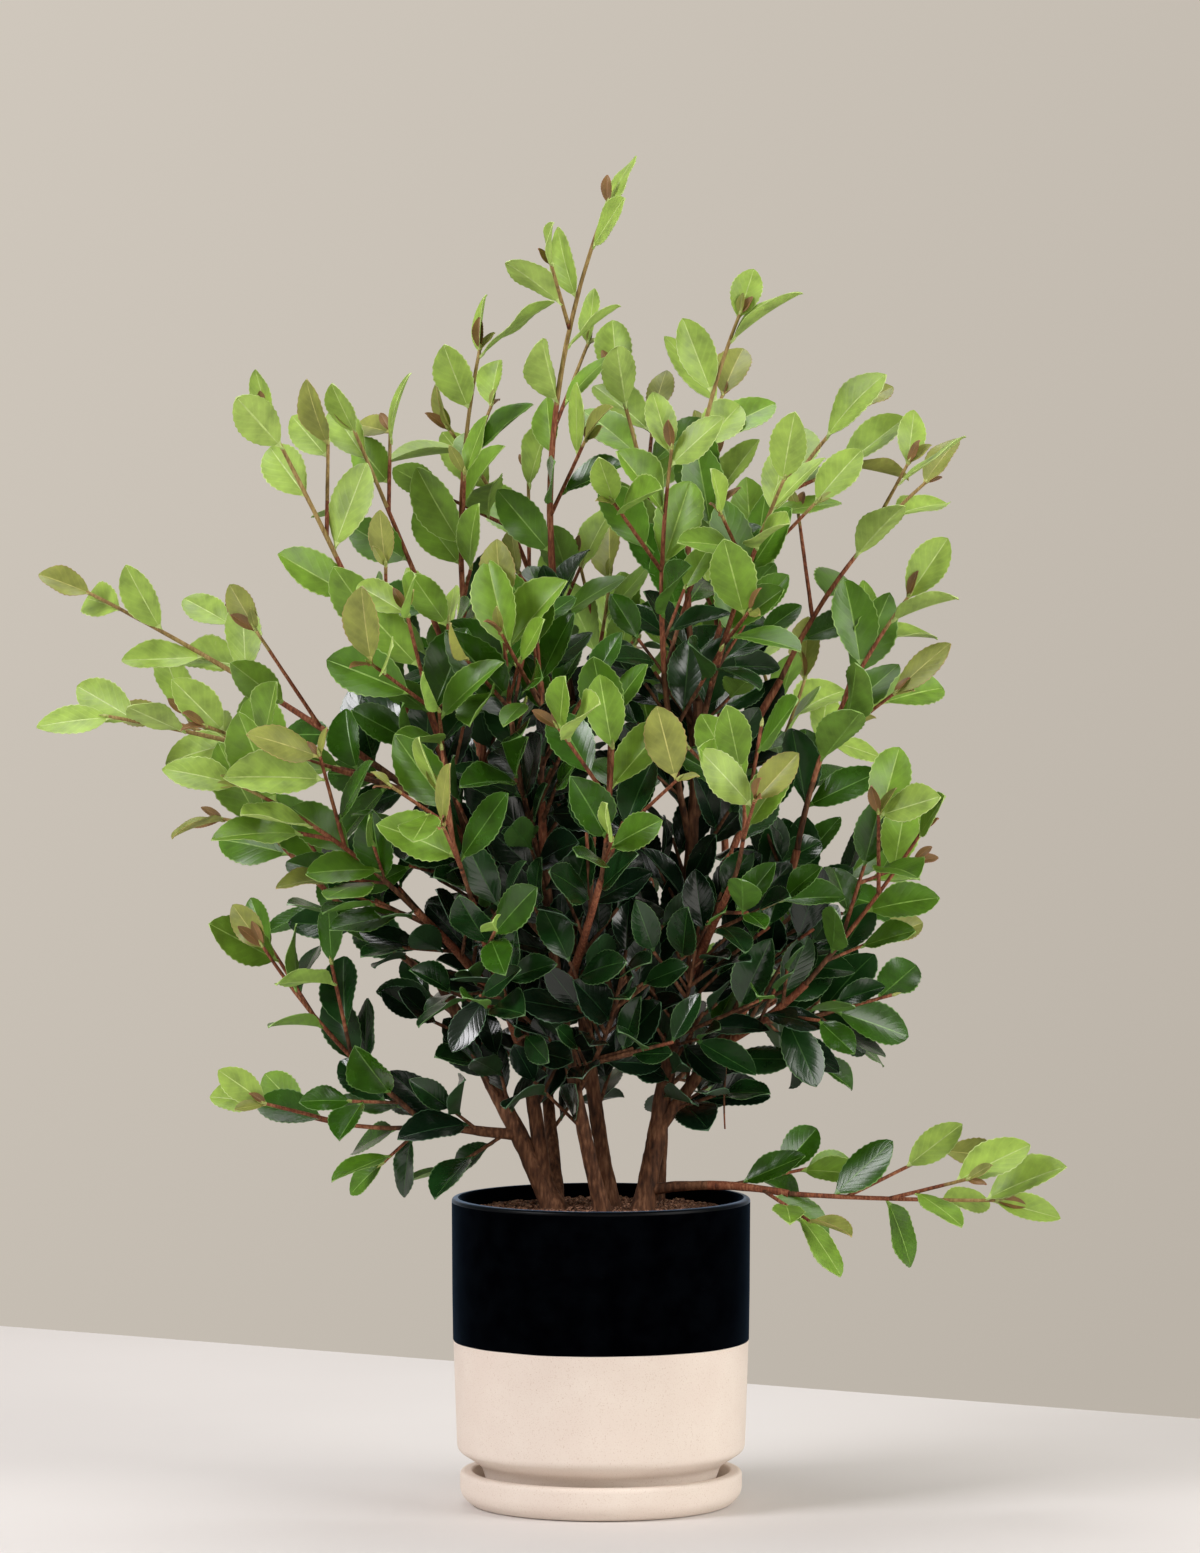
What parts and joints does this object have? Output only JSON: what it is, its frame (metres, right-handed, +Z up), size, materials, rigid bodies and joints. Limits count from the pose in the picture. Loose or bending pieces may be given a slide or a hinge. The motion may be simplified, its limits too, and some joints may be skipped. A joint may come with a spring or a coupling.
{
  "type": "potted camellia shrub",
  "caption": "Evergreen camellia shrub with several stems and an open, upswept crown, growing in a two-tone round stoneware pot on a round saucer.",
  "frame": {"origin": "on the pot's axis, at the flat underside of the saucer", "axes": "+Z up along the pot's axis and the shrub's height, +X to the right seen from the front, +Y to the back"},
  "size_m": [0.6157, 0.4088, 0.8122],
  "materials": {
    "leaves": "satin",
    "bark": "rough",
    "glazed_stoneware": "satin",
    "bare_stoneware": "matt",
    "potting_mix": "rough"
  },
  "bodies": {
    "root": {"bough_back": "bark", "bough_back_right": "bark", "bough_front": "bark", "bough_front_left": "bark", "bough_front_right": "bark", "bough_left_high": "bark", "bough_left_middle": "bark", "bough_low_left": "bark", "bough_low_right": "bark", "bough_right": "bark", "bough_right_low": "bark", "bough_right_top": "bark", "foliage_back_left": "leaves", "foliage_back_low_left": "leaves", "foliage_back_low_right": "leaves", "foliage_back_middle": "leaves", "foliage_back_right": "leaves", "foliage_back_upper": "leaves", "foliage_far_left_lower": "leaves", "foliage_far_left_upper": "leaves", "foliage_front_centre": "leaves", "foliage_front_far_left": "leaves", "foliage_front_left": "leaves", "foliage_front_left_upper": "leaves", "foliage_front_middle": "leaves", "foliage_front_right": "leaves", "foliage_inner_front": "leaves", "foliage_inner_left": "leaves", "foliage_inner_right": "leaves", "foliage_left": "leaves", "foliage_left_front": "leaves", "foliage_lower_left": "leaves", "foliage_lower_right": "leaves", "foliage_lowest_left": "leaves", "foliage_lowest_right": "leaves", "foliage_right": "leaves", "foliage_right_inner": "leaves", "foliage_right_middle": "leaves", "foliage_top_front": "leaves", "foliage_top_leader": "leaves", "foliage_top_left": "leaves", "foliage_top_left_back": "leaves", "foliage_top_middle": "leaves", "foliage_top_right": "leaves", "foliage_top_right_back": "leaves", "foliage_upper_left": "leaves", "foliage_upper_left_tall": "leaves", "foliage_upper_right": "leaves", "foliage_upper_right_front": "leaves", "foliage_upper_right_tall": "leaves", "pot": "glazed_stoneware", "potting_mix": "potting_mix", "saucer": "bare_stoneware", "stem_back": "bark", "stem_centre": "bark", "stem_centre_back": "bark", "stem_left": "bark", "stem_left_back": "bark", "stem_left_inner": "bark", "stem_right": "bark"}
  },
  "joints": []
}
